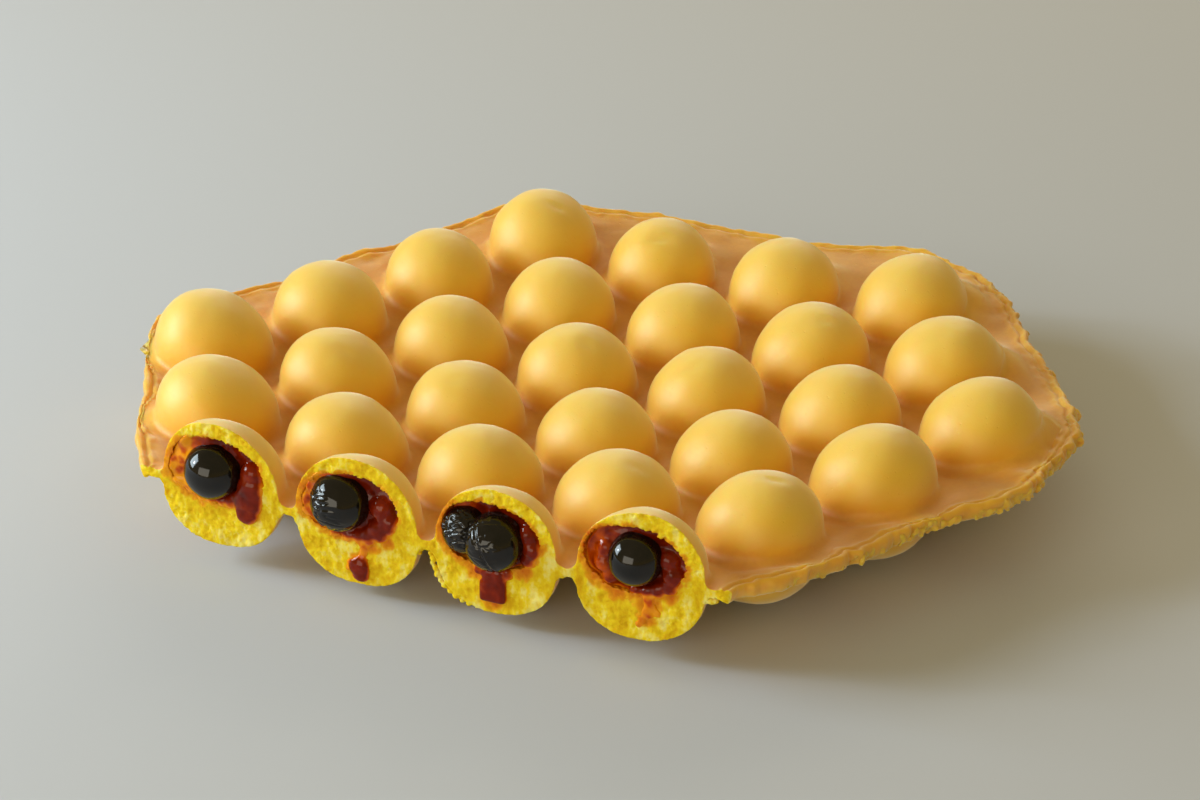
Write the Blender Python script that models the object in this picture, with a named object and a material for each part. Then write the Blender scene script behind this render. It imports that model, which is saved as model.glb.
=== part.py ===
"""Bubble waffle: a dished hexagon of batter bubbles baked in one sheet, with the front-left row cut open.

Each cut bubble has a pocket of dark syrup with one or two tapioca pearls in it. Lengths are in metres and
+Z is up. The waffle lies on the blunt undersides of its middle bubbles. X runs across the columns and Y
along them.
"""

import math

import bmesh
import bpy
from mathutils import Matrix, Vector, noise

MM = 0.001

# Lattice of the iron: bubbles in each column, from the left to the right
PITCH = 33.0 * MM
COLUMNS = (3, 4, 5, 6, 5, 4, 3)
COLUMN_STEP = PITCH * math.cos(math.radians(30))
LATTICE_SHIFT = Vector((-3.4 * MM, -7.7 * MM, 0))  # puts the finished sheet's box over the origin

# One bubble: a round dome above the sheet and a blunter cup below it
DOME_RADIUS = 14.1 * MM
DOME_RISE = 2.8 * MM  # from the sheet's middle up to the dome's centre
CUP_RADIUS = 14.3 * MM
CUP_DEPTH = 14.0 * MM
CUP_BLUNTNESS = 2.3  # 2 is an ellipse
DOME_RING_ANGLES = (26, 52, 79)
CUP_RING_ANGLES = (24, 58)
CUT_DOME_RING_ANGLES = (18, 36, 54, 72, 85)  # finer in the cut row, where the outline shows
CUT_CUP_RING_ANGLES = (20, 38, 56, 74)
FIRST_CUP_LEAN = Vector((-1.8 * MM, 1.0 * MM, 0))
FOOT_WIDTH = 1.1 * MM  # flare from a dome's side to the sheet
SEGMENTS = 18  # a multiple of 6, so that the hexagon's corners are points
SIZE_SPREAD = 0.03
SHIFT_SPREAD = 0.45 * MM
# Noise field that sets the bubbles apart: where it starts, its steps by bubble and by seed, and its gain
SPREAD_START = (0.37, 2.9)
SPREAD_STEPS = (1.73, 4.1)
SPREAD_GAIN = 1.6

# The sheet
WEB_THICKNESS = 2.2 * MM
LIFT_X = 5.4 * MM  # how far the dish lifts the outer columns
LIFT_Y = 6.4 * MM  # and the ends of the middle column
SETTLE = 1.8 * MM  # how far the middle bubbles are pressed flat on the surface below

# Flange: the sheet's reach past the outer bubbles' centres, by the direction that each side faces
SIDE_REACH = {0: 25.5 * MM, 60: 29.5 * MM, 120: 24.0 * MM, 180: 17.2 * MM, 240: 20.0 * MM, 300: 20.5 * MM}
CORNER_SHARPNESS = (25, 11)  # mean, and how much softer the right corners are than the left ones
RIM_WIDTH = 2.2 * MM
RIM_HALF_THICKNESS = 1.7 * MM
EDGE_WAVE = 0.5 * MM
EDGE_WAVE_DETAIL = 4  # noise cells from the middle out to a point on the edge
EDGE_CRAGS = 1.3 * MM  # crumbly overflow, full on the right and faint on the left
EDGE_CRAG_DETAIL = 31
EDGE_CRAG_SEED = Vector((0, 0, 5))
EDGE_CRAG_SIDE = math.radians(-20)  # where it is strongest
EDGE_CRAG_LEAST = 0.25  # its share on the far side
EDGE_CRAG_FALLOFF = 1.5
# Places where the batter ran further out or less far: direction, distance, half-width in degrees
EDGE_RUNS = (
    (35, 4.0 * MM, 5),
    (82, -4.4 * MM, 7),
    (122, 2.4 * MM, 6),
    (157, -1.7 * MM, 7),
    (185, 1.6 * MM, 8),
    (268, 12.0 * MM, 8),  # cut away with the front row: it keeps the sheet's edge clear of the end bubble
    (281, -3.8 * MM, 6),
    (326, 5.2 * MM, 6),
)
WELD = 0.02 * MM
CREASE = math.radians(40)  # edges sharper than this are shaded sharp

# Cut through the centres of the row that faces front left
CUT_ANGLE = math.radians(240)
CUT_NORMAL = Vector((math.cos(CUT_ANGLE), math.sin(CUT_ANGLE), 0))
ROW_DIRECTION = Vector((-CUT_NORMAL.y, CUT_NORMAL.x, 0))
CUT_PAST_CENTRES = 0.3 * MM
CUT_BLOCK = (330 * MM, 80 * MM, 120 * MM)
CUT_BUBBLES = 4

# Pocket in each cut bubble, from the dome's centre: along the row, out of the cut, up
POCKET_CENTRE = (-1.3 * MM, 0, 2.6 * MM)
POCKET_RADII = (11.5 * MM, 10.2 * MM, 8.0 * MM)
POCKET_LUMPS = 0.06
POCKET_LUMPS_PER_RADIUS = 1.3
LUMP_SEED = 212
POCKET_DETAIL = 3  # icosphere subdivisions
SYRUP_DETAIL = 2
SYRUP_RECESS = 1.6 * MM
SYRUP_GAP = 0.45 * MM
PEARL_GAP = 0.35 * MM

# Pearls: node name, cut bubble, place from the dome's centre, radius, wrinkle depth as a share of the radius
PEARLS = (
    ("pearl_1", 0, (-2.2 * MM, -0.8 * MM, 2.0 * MM), 6.6 * MM, 0.008),
    ("pearl_2", 1, (-4.0 * MM, -0.8 * MM, 2.9 * MM), 6.8 * MM, 0.030),
    ("pearl_3_back", 2, (-7.3 * MM, -1.2 * MM, 2.4 * MM), 5.4 * MM, 0.050),
    ("pearl_3_front", 2, (0.1 * MM, 0.8 * MM, 1.9 * MM), 6.5 * MM, 0.020),
    ("pearl_4", 3, (-1.3 * MM, -0.6 * MM, 2.8 * MM), 6.0 * MM, 0.015),
)
PEARL_DETAIL = 3
WRINKLES_PER_RADIUS = 1.6

BATTER = {"color": (0.86, 0.56, 0.17, 1), "roughness": 0.55}
PEARL = {"color": (0.012, 0.009, 0.008, 1), "roughness": 0.12}
SYRUP = {"color": (0.16, 0.018, 0.006, 1), "roughness": 0.15}


def clear_scene():
    for old in list(bpy.data.objects):
        bpy.data.objects.remove(old)


def new_material(name, look):
    material = bpy.data.materials.new(name)
    material.use_nodes = True
    shader = material.node_tree.nodes["Principled BSDF"]
    shader.inputs["Base Color"].default_value = look["color"]
    shader.inputs["Roughness"].default_value = look["roughness"]
    shader.inputs["Metallic"].default_value = 0
    return material


def new_collection(name):
    collection = bpy.data.collections.new(name)
    bpy.context.scene.collection.children.link(collection)
    return collection


def object_from(bm, name, collection, material=None):
    """Turns a bmesh into a smooth-shaded object, which is a cutter if it has no material."""
    bmesh.ops.recalc_face_normals(bm, faces=bm.faces)
    mesh = bpy.data.meshes.new(name)
    bm.to_mesh(mesh)
    bm.free()
    mesh.shade_smooth()
    mesh.set_sharp_from_angle(angle=CREASE)
    made = bpy.data.objects.new(name, mesh)
    collection.objects.link(made)
    if material:
        mesh.materials.append(material)
    else:
        made.hide_render = True
        made.display_type = "WIRE"
    return made


def subtract(target, cutter):
    boolean = target.modifiers.new("less " + cutter.name, "BOOLEAN")
    boolean.operation = "DIFFERENCE"
    boolean.solver = "EXACT"
    boolean.object = cutter


def spread(number, seed):
    """A steady value from -1 to 1 for each bubble or lump."""
    place = Vector((SPREAD_START[0] + SPREAD_STEPS[0] * number, SPREAD_STEPS[1] * seed, SPREAD_START[1]))
    return max(-1, min(1, SPREAD_GAIN * noise.noise(place)))


def lattice():
    """Every bubble's centre in plan, column by column from the left, and front to back in each column."""
    middle = (len(COLUMNS) - 1) / 2
    for column, count in enumerate(COLUMNS):
        for row in range(count):
            yield Vector(((column - middle) * COLUMN_STEP, (row - (count - 1) / 2) * PITCH, 0))


def cut_bubble_numbers():
    """The first bubble of each of the first columns."""
    return [sum(COLUMNS[:column]) for column in range(CUT_BUBBLES)]


def dish(point):
    """How far the sheet's middle stands above its lowest place, at a point in plan."""
    outer_x = 3 * COLUMN_STEP
    outer_y = 2.5 * PITCH
    return LIFT_X * (point.x / outer_x) ** 2 + LIFT_Y * (point.y / outer_y) ** 2


def sheet_height(point):
    return CUP_DEPTH - SETTLE + dish(point)


def run_out(angle):
    """How far past the plain hexagon the batter ran in this direction."""
    total = 0
    for direction, distance, width in EDGE_RUNS:
        apart = (math.degrees(angle) - direction + 180) % 360 - 180
        total += distance * math.exp(-((apart / width) ** 2))
    return total


def edge_distance(angle):
    """The sheet's edge from its centre: a hexagon with softened corners, a slow wave and crumbly crags."""
    sharpness = CORNER_SHARPNESS[0] - CORNER_SHARPNESS[1] * math.cos(angle)
    closeness = 0
    for facing, reach in SIDE_REACH.items():
        towards = math.cos(angle - math.radians(facing))
        across_columns = facing in (0, 180)
        row_distance = 3 * COLUMN_STEP if across_columns else 2.5 * PITCH * math.cos(math.radians(30))
        if towards > 0:
            closeness += (towards / (row_distance + reach)) ** sharpness
    smooth = closeness ** (-1 / sharpness)
    around = Vector((math.cos(angle), math.sin(angle), 0))
    facing_share = max(0, math.cos(angle - EDGE_CRAG_SIDE)) ** EDGE_CRAG_FALLOFF
    crag_share = EDGE_CRAG_LEAST + (1 - EDGE_CRAG_LEAST) * facing_share
    return (
        smooth
        + run_out(angle)
        + EDGE_WAVE * noise.noise(around * EDGE_WAVE_DETAIL)
        + EDGE_CRAGS * crag_share * noise.noise(around * EDGE_CRAG_DETAIL + EDGE_CRAG_SEED)
    )


def dome_rings(size, ring_angles):
    """Radius and height of each ring of an upper dome, from the crown to the foot."""
    for degrees in ring_angles:
        angle = math.radians(degrees)
        yield size * DOME_RADIUS * math.sin(angle), DOME_RISE + size * DOME_RADIUS * math.cos(angle)
    yield size * DOME_RADIUS + FOOT_WIDTH, WEB_THICKNESS / 2


def cup_rings(size, ring_angles):
    """The same for the blunt cup below the sheet, whose lowest ring is flat."""
    power = 2 / CUP_BLUNTNESS
    for degrees in ring_angles:
        angle = math.radians(degrees)
        yield size * CUP_RADIUS * math.sin(angle) ** power, -size * CUP_DEPTH * math.cos(angle) ** power
    yield size * CUP_RADIUS + FOOT_WIDTH, -WEB_THICKNESS / 2


def cell_rings(number, side):
    """The rings of one surface of a bubble, and the height of the point in the middle of the first ring."""
    size = 1 + SIZE_SPREAD * spread(number, 1)
    is_cut = number in cut_bubble_numbers()
    if side > 0:
        rings = list(dome_rings(size, CUT_DOME_RING_ANGLES if is_cut else DOME_RING_ANGLES))
        return rings, DOME_RISE + size * DOME_RADIUS
    rings = list(cup_rings(size, CUT_CUP_RING_ANGLES if is_cut else CUP_RING_ANGLES))
    return rings, rings[0][1]


def cell_lean(number, side):
    """How far the crown of a dome, or the bottom of a cup, is off its place in the lattice."""
    lean = Vector((spread(number, 2 + side), spread(number, 5 + side), 0)) * SHIFT_SPREAD
    return lean + FIRST_CUP_LEAN if side < 0 and number == 0 else lean


def hexagon_radius(angle):
    """From a cell's centre to its border, where it meets its neighbours."""
    return PITCH / 2 / math.cos(angle % math.radians(60) - math.radians(30))


def extruded(bm, edges):
    """Extrudes a border and returns its new points and edges."""
    made = bmesh.ops.extrude_edge_only(bm, edges=edges)["geom"]
    points = [item for item in made if isinstance(item, bmesh.types.BMVert)]
    fresh = set(points)
    border = [e for e in made if isinstance(e, bmesh.types.BMEdge) and set(e.verts) <= fresh]
    return points, border


def set_distance(point, distance, height):
    """Moves a point straight out from or in to the Z axis, and to a height."""
    angle = math.atan2(point.co.y, point.co.x)
    point.co = Vector((distance * math.cos(angle), distance * math.sin(angle), height))


def add_cell(bm, number, centre, side):
    """One bubble's hexagonal cell of the upper surface (side 1) or the underside (side -1)."""
    rings, middle_height = cell_rings(number, side)
    lean = cell_lean(number, side)
    from_x = Matrix.Rotation(math.radians(-90), 4, "Z")  # a circle's first point is on +Y
    disc = bmesh.ops.create_circle(
        bm, cap_ends=True, cap_tris=side > 0, segments=SEGMENTS, radius=rings[0][0], matrix=from_x
    )
    cell = list(disc["verts"])
    for point in cell:
        on_ring = point.co.length > rings[0][0] / 2
        point.co.z = rings[0][1] if on_ring else middle_height
    border = [edge for edge in {e for v in cell for e in v.link_edges} if edge.is_boundary]
    for radius, height in rings[1:]:
        points, border = extruded(bm, border)
        for point in points:
            set_distance(point, radius, height)
        cell += points
    points, border = extruded(bm, border)
    for point in points:
        set_distance(point, hexagon_radius(math.atan2(point.co.y, point.co.x)), side * WEB_THICKNESS / 2)
    for point in cell:
        point.co += lean * abs(point.co.z / middle_height)
    bmesh.ops.translate(bm, verts=cell + points, vec=centre)


def edge_of(point):
    return edge_distance(math.atan2(point.co.y, point.co.x))


def add_flange(bm, side):
    """Carries one surface on from the cells' border over a raised rim and down to the sheet's edge."""
    border = [edge for edge in bm.edges if edge.is_boundary]
    for point in {v for edge in border for v in edge.verts}:
        inside = min(point.co.xy.length, edge_of(point) - WEB_THICKNESS)
        set_distance(point, inside, point.co.z)
    points, border = extruded(bm, border)
    for point in points:
        start = point.co.xy.length
        rim = max(edge_of(point) - RIM_WIDTH, (start + edge_of(point)) / 2)
        set_distance(point, rim, side * RIM_HALF_THICKNESS)
    points, border = extruded(bm, border)
    for point in points:
        set_distance(point, edge_of(point), 0)


def surface(side):
    bm = bmesh.new()
    for number, centre in enumerate(lattice()):
        add_cell(bm, number, centre, side)
    bmesh.ops.remove_doubles(bm, verts=bm.verts, dist=WELD)
    add_flange(bm, side)
    return bm


def build_sheet(collection, material):
    """The whole waffle before it is cut: both surfaces welded along the edge, dished and set down."""
    bm = surface(1)
    under = bpy.data.meshes.new("under")
    lower = surface(-1)
    lower.to_mesh(under)
    lower.free()
    bm.from_mesh(under)
    bpy.data.meshes.remove(under)
    bmesh.ops.remove_doubles(bm, verts=bm.verts, dist=WELD)
    for point in bm.verts:
        point.co.z = max(0, point.co.z + sheet_height(point.co))
    bmesh.ops.triangulate(bm, faces=bm.faces)
    bmesh.ops.translate(bm, verts=bm.verts, vec=LATTICE_SHIFT)
    return object_from(bm, "waffle", collection, material)


def cut_bubble_centres():
    """The dome centres of the cut row, from left to right."""
    centres = list(lattice())
    for number in cut_bubble_numbers():
        plan = centres[number]
        yield plan + LATTICE_SHIFT + Vector((0, 0, sheet_height(plan) + DOME_RISE))


def in_bubble(centre, place):
    """A point from a dome's centre: along the row, out of the cut, up."""
    along, out, up = place
    return centre + ROW_DIRECTION * along + CUT_NORMAL * out + Vector((0, 0, up))


def block_in_front(name, recess, collection):
    """A block that holds everything in front of the cut, or in front of a plane set back from it."""
    bm = bmesh.new()
    bmesh.ops.create_cube(bm, size=1)
    bmesh.ops.scale(bm, vec=CUT_BLOCK, verts=bm.verts)
    row = list(cut_bubble_centres())
    middle = (row[0] + row[-1]) / 2
    offset = CUT_PAST_CENTRES - recess + CUT_BLOCK[1] / 2
    turn = Matrix((ROW_DIRECTION, CUT_NORMAL, (0, 0, 1))).transposed().to_4x4()
    bmesh.ops.transform(bm, matrix=Matrix.Translation(middle + CUT_NORMAL * offset) @ turn, verts=bm.verts)
    return object_from(bm, name, collection)


def lumpy_ball(name, centre, radii, shape, collection, material=None):
    """A ball or egg whose surface swells and dips, turned so that its first radius lies along the row."""
    detail, lumps, lumps_per_radius = shape
    bm = bmesh.new()
    bmesh.ops.create_icosphere(bm, subdivisions=detail, radius=1)
    for point in bm.verts:
        swell = noise.noise(point.co * lumps_per_radius + centre * LUMP_SEED)
        point.co *= 1 + lumps * swell
    bmesh.ops.scale(bm, vec=radii, verts=bm.verts)
    turn = Matrix((ROW_DIRECTION, CUT_NORMAL, (0, 0, 1))).transposed().to_4x4()
    bmesh.ops.transform(bm, matrix=Matrix.Translation(centre) @ turn, verts=bm.verts)
    return object_from(bm, name, collection, material)


def build_pocket(number, centre, collection):
    """The hollow of a cut bubble."""
    shape = (POCKET_DETAIL, POCKET_LUMPS, POCKET_LUMPS_PER_RADIUS)
    return lumpy_ball(f"pocket_{number}", in_bubble(centre, POCKET_CENTRE), POCKET_RADII, shape, collection)


def build_syrup(number, centre, collection, material):
    """What fills the pocket: the same lumpy egg, a little smaller and plainer."""
    shape = (SYRUP_DETAIL, POCKET_LUMPS, POCKET_LUMPS_PER_RADIUS)
    radii = [radius - SYRUP_GAP for radius in POCKET_RADII]
    return lumpy_ball(f"syrup_{number}", in_bubble(centre, POCKET_CENTRE), radii, shape, collection, material)


def build_pearl(pearl, centre, collection, material):
    name, _, place, radius, wrinkles = pearl
    shape = (PEARL_DETAIL, wrinkles, WRINKLES_PER_RADIUS)
    return lumpy_ball(name, in_bubble(centre, place), [radius] * 3, shape, collection, material)


def build_room(pearl, centre, collection):
    """The room that the batter, the syrup and a neighbour leave for a pearl."""
    name, _, place, radius, wrinkles = pearl
    shape = (PEARL_DETAIL, wrinkles, WRINKLES_PER_RADIUS)
    return lumpy_ball(name + "_room", in_bubble(centre, place), [radius + PEARL_GAP] * 3, shape, collection)


def main():
    clear_scene()
    model = new_collection("bubble_waffle")
    cutters = new_collection("cutters")
    batter = new_material("batter", BATTER)
    pearl_black = new_material("pearl", PEARL)
    syrup_brown = new_material("syrup", SYRUP)
    centres = list(cut_bubble_centres())

    waffle = build_sheet(model, batter)
    subtract(waffle, block_in_front("front_row_half", 0, cutters))
    syrup_front = block_in_front("syrup_front", SYRUP_RECESS, cutters)
    syrups = []
    for number, centre in enumerate(centres, 1):
        subtract(waffle, build_pocket(number, centre, cutters))
        syrup = build_syrup(number, centre, model, syrup_brown)
        subtract(syrup, syrup_front)
        syrups.append(syrup)

    pearls = {}
    for pearl in PEARLS:
        name, bubble = pearl[:2]
        pearls[name] = build_pearl(pearl, centres[bubble], model, pearl_black)
        room = build_room(pearl, centres[bubble], cutters)
        subtract(waffle, room)
        subtract(syrups[bubble], room)
        if name == "pearl_3_front":
            subtract(pearls["pearl_3_back"], room)


main()
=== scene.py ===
import bmesh
import bpy
import math
import random
from mathutils import Matrix, Vector, noise


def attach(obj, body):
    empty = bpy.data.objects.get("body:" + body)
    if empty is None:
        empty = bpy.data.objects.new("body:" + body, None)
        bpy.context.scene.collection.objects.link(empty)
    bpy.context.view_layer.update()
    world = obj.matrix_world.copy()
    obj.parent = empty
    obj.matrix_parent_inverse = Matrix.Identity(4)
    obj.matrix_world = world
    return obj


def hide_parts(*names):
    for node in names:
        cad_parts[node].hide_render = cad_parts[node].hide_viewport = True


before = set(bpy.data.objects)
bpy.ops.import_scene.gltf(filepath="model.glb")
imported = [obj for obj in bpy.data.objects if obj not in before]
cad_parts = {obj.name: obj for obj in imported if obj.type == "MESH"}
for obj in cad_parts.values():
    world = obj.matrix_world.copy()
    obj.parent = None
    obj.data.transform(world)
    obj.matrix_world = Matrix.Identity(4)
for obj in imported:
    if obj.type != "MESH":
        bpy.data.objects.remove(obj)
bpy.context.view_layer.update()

mm = 0.001

# where the bubbles stand, as in the solids
iron = {
    "pitch": 33 * mm,  # from one bubble to the next
    "columns": (3, 4, 5, 6, 5, 4, 3),  # bubbles in each column, from the left
    "centre": Vector((-3.4 * mm, -7.7 * mm, 12.2 * mm)),  # the lattice's middle, halfway through the sheet
    "liftX": 5.4 * mm,  # the dish lifts the outer columns this far
    "liftY": 6.4 * mm,  # and the ends of the middle column this far
    "cutRow": 4,  # bubbles that are cut open
    "cutAngle": math.radians(240),  # the way the cut faces
    "cutPast": 0.3 * mm,  # the cut runs just in front of the bubbles' centres
    "sizeSpread": 0.03,
    "leanSpread": 0.45 * mm,
}
columnStep = iron["pitch"] * math.cos(math.radians(30))
cutNormal = Vector((math.cos(iron["cutAngle"]), math.sin(iron["cutAngle"]), 0))
rowWay = Vector((-cutNormal.y, cutNormal.x, 0))
cutTurn = Matrix((rowWay, cutNormal, (0, 0, 1))).transposed().to_4x4()  # X along the row, Y out of the cut


def latticePlan():
    middle = (len(iron["columns"]) - 1) / 2
    places = []
    for column, count in enumerate(iron["columns"]):
        for row in range(count):
            across = (row - (count - 1) / 2) * iron["pitch"]
            places.append(Vector(((column - middle) * columnStep, across, 0)))
    return places


def dishLift(x, y):  # from the lattice's middle
    return iron["liftX"] * (x / (3 * columnStep)) ** 2 + iron["liftY"] * (y / (2.5 * iron["pitch"])) ** 2


def spread(number, seed):  # a steady value from -1 to 1 for each bubble
    return max(-1, min(1, 1.6 * noise.noise(Vector((0.37 + 1.73 * number, 4.1 * seed, 2.9)))))


def cutNumbers():
    return [sum(iron["columns"][:column]) for column in range(iron["cutRow"])]


def cutCentres(rise):  # the cut bubbles, at a height above the sheet's middle
    plan = latticePlan()
    return [iron["centre"] + plan[n] + Vector((0, 0, rise + dishLift(*plan[n].xy))) for n in cutNumbers()]


def smoothStep(low, high, value):
    t = max(0, min(1, (value - low) / (high - low)))
    return t * t * (3 - 2 * t)


# small helpers for working in edit mode
def deselectAll():
    if bpy.context.object and bpy.context.object.mode != "OBJECT":
        bpy.ops.object.mode_set(mode="OBJECT")
    bpy.ops.object.select_all(action="DESELECT")


def openEdit(obj, mode="VERT"):
    deselectAll()
    obj.select_set(True)
    bpy.context.view_layer.objects.active = obj
    bpy.ops.object.mode_set(mode="EDIT")
    bpy.ops.mesh.select_mode(type=mode)


def selectAll():
    bpy.ops.mesh.select_all(action="SELECT")


def closeEdit():
    bpy.ops.object.mode_set(mode="OBJECT")


def joinAll(objects, name):
    deselectAll()
    for obj in objects:
        obj.select_set(True)
    bpy.context.view_layer.objects.active = objects[0]
    bpy.ops.object.join()
    joined = bpy.context.object
    joined.name = name
    return joined


def weld(obj, distance=0.02 * mm):
    openEdit(obj)
    selectAll()
    bpy.ops.mesh.remove_doubles(threshold=distance)
    bpy.ops.mesh.normals_make_consistent(inside=False)
    closeEdit()


def faceOutwards(obj):
    openEdit(obj)
    selectAll()
    bpy.ops.mesh.normals_make_consistent(inside=False)
    closeEdit()


def addSphere(subdivisions, radius=1):
    deselectAll()
    bpy.ops.mesh.primitive_ico_sphere_add(subdivisions=subdivisions, radius=radius)
    return bpy.context.object


def wear(obj, material):  # one material all over, shaded smooth
    obj.data.materials.clear()
    obj.data.materials.append(bpy.data.materials[material])
    obj.data.shade_smooth()


def applyModifier(obj, kind, **settings):
    deselectAll()
    obj.select_set(True)
    bpy.context.view_layer.objects.active = obj
    modifier = obj.modifiers.new(kind.title(), kind)
    for name, value in settings.items():
        setattr(modifier, name, value)
    bpy.ops.object.modifier_apply(modifier=modifier.name)


def spinProfile(name, profile, steps):  # a turned shape round Z from points in the XZ plane
    deselectAll()
    bpy.ops.mesh.primitive_plane_add(size=1 * mm, location=(0, 0, 0))
    obj = bpy.context.object
    obj.name = name
    openEdit(obj)
    selectAll()
    bpy.ops.mesh.merge(type="CENTER")
    bpy.ops.transform.translate(value=profile[0])
    for here, after in zip(profile, profile[1:]):
        bpy.ops.mesh.extrude_vertices_move(TRANSFORM_OT_translate={"value": after - here})
    selectAll()
    bpy.ops.mesh.spin(steps=steps, angle=math.tau, center=(0, 0, 0), axis=(0, 0, 1))
    selectAll()
    bpy.ops.mesh.remove_doubles(threshold=0.005 * mm)
    closeEdit()
    return obj


# the bubbles: one turned cell for the top and one for the underside, copied over the lattice
bubble = {
    "domeRadius": 14.1 * mm,
    "domeRise": 2.8 * mm,  # from the sheet's middle to the dome's centre
    "cupRadius": 14.3 * mm,
    "cupDepth": 13.6 * mm,
    "cupBluntness": 2.3,
    "sheetHalf": 1.1 * mm,
    "fillet": 2.1 * mm,
    "steps": 48,
    "domeRings": 17,
    "cupRings": 10,
    "filletRings": 5,
    "cupTurn": math.radians(80),  # the cup's curve ends here and a fillet takes over
    "cupFillet": ((0.35 * mm, 0.9 * mm), (1.1 * mm, 0)),  # out from the cup and below the sheet
    "roundPast": 0.9 * mm,  # a cell stays round this far past its bubble
    "footPast": 1.4 * mm,  # a bubble's own size fades out before this
    "footFade": 1.2 * mm,
    "firstLean": Vector((-1.8 * mm, 1.0 * mm, 0)),  # the first cut bubble hangs out to the left
}


def domeProfile():
    radius, rise, fillet, half = (bubble[key] for key in ("domeRadius", "domeRise", "fillet", "sheetHalf"))
    filletHeight = half + fillet
    filletX = math.sqrt((radius + fillet) ** 2 - (filletHeight - rise) ** 2)
    lowest = math.atan2(filletX, filletHeight - rise)  # where the fillet begins
    points = []
    for ring in range(bubble["domeRings"] + 1):
        angle = lowest * ring / bubble["domeRings"]
        points.append(Vector((radius * math.sin(angle), 0, rise + radius * math.cos(angle))))
    for ring in range(1, bubble["filletRings"] + 1):
        angle = lowest + (math.pi - lowest) * ring / bubble["filletRings"]
        x, z = filletX - fillet * math.sin(angle), filletHeight + fillet * math.cos(angle)
        points.append(Vector((x, 0, z)))
    points.append(Vector((iron["pitch"] / 2, 0, half)))
    return points


def cupProfile():
    radius, depth, half = (bubble[key] for key in ("cupRadius", "cupDepth", "sheetHalf"))
    power = 2 / bubble["cupBluntness"]
    points = []
    for ring in range(bubble["cupRings"] + 1):
        angle = bubble["cupTurn"] * ring / bubble["cupRings"]
        points.append(Vector((radius * math.sin(angle) ** power, 0, -depth * math.cos(angle) ** power)))
    for past, below in bubble["cupFillet"]:
        points.append(Vector((radius + past, 0, -half - below)))
    points.append(Vector((iron["pitch"] / 2, 0, -half)))
    return points


def toHexagon(obj):  # carries the round border out to the cell's six sides
    half = iron["pitch"] / 2
    foot = max(bubble["domeRadius"], bubble["cupRadius"]) + bubble["roundPast"]
    for point in obj.data.vertices:
        flat = point.co.xy.length
        if flat <= foot:
            continue
        angle = math.atan2(point.co.y, point.co.x) % math.radians(60) - math.radians(30)
        share = (flat - foot) / (half - foot)
        point.co.xy *= (foot + share * (half / math.cos(angle) - foot)) / flat


def placeCell(cell, number, side, plan):
    copy = cell.copy()
    copy.data = cell.data.copy()
    bpy.context.collection.objects.link(copy)
    size = 1 + iron["sizeSpread"] * spread(number, 1)
    lean = Vector((spread(number, 2 + side), spread(number, 5 + side), 0)) * iron["leanSpread"]
    if side < 0 and number == 0:
        lean += bubble["firstLean"]
    foot = bubble["domeRadius"] + bubble["footPast"]
    tall = max(abs(point.co.z) for point in copy.data.vertices)
    for point in copy.data.vertices:
        reach = point.co.xy.length
        within = 1 - smoothStep(foot - bubble["footFade"], foot, reach)
        rise = abs(point.co.z) - bubble["sheetHalf"]
        point.co.xy *= 1 + (size - 1) * within
        point.co.z += side * rise * (size - 1)
        point.co += lean * max(0, rise) / tall
        point.co += plan
    return copy


def buildSurface(side):
    name = "top" if side > 0 else "under"
    cell = spinProfile(name, domeProfile() if side > 0 else cupProfile(), bubble["steps"])
    toHexagon(cell)
    cells = [placeCell(cell, number, side, plan) for number, plan in enumerate(latticePlan())]
    bpy.data.objects.remove(cell)
    surface = joinAll(cells, name + "Surface")
    weld(surface)
    growFlange(surface, side)
    return surface


# the flange: the sheet beyond the outer bubbles, with its doubled rim and crumbly overflow
flange = {
    # reach past the outer bubbles' centres, by the way each side faces
    "reach": {
        0: 25.5 * mm, 60: 29.5 * mm, 120: 24.0 * mm,
        180: 17.2 * mm, 240: 20.0 * mm, 300: 20.5 * mm,
    },
    "sharpness": 25,
    "softerRight": 11,
    # where the batter ran further out or less far: direction, distance, half-width in degrees
    "runs": (
        (35, 4.0 * mm, 5), (82, -4.4 * mm, 7), (122, 2.4 * mm, 6), (157, -1.7 * mm, 7),
        (185, 1.6 * mm, 8), (268, 12.0 * mm, 8), (281, -3.8 * mm, 6), (326, 5.2 * mm, 6),
    ),
    "wave": 0.5 * mm,
    "waveScale": 4,
    "crags": 1.3 * mm,
    "cragScale": 31,
    "fineCrags": 0.55 * mm,
    "fineScale": 95,
    "cragsLeft": 0.25,  # share of the crags that the calmer left side has
    "cragTurn": math.radians(20),
    "cragPower": 1.5,
    "cragFade": (0.4, 2.6),  # the crags die out over this distance in from the edge, mm
    "flatRings": 8,
    "edgeCuts": 3,  # extra points between two of the rim's, for the crags
    "rimWidth": 4.5 * mm,
    "rimRoom": 0.5 * mm,
    "rimNarrowest": 0.25,
    "cellsInside": 1.2 * mm,  # the bubbles' cells end at least this far inside the edge
    # in from the edge and up from the sheet's middle, mm: two ribs with a groove between them
    "topRim": (
        (3.9, 1.13), (3.4, 1.26), (2.9, 1.34), (2.5, 1.04), (2.1, 0.82), (1.7, 1.10),
        (1.2, 1.42), (0.7, 1.34), (0.3, 1.0), (0.05, 0.45), (0.0, -0.3),
    ),
    "underRim": ((3.2, -1.15), (2.1, -1.6), (1.3, -2.1), (0.7, -2.1), (0.25, -1.5), (0.0, -0.3)),
}


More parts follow.
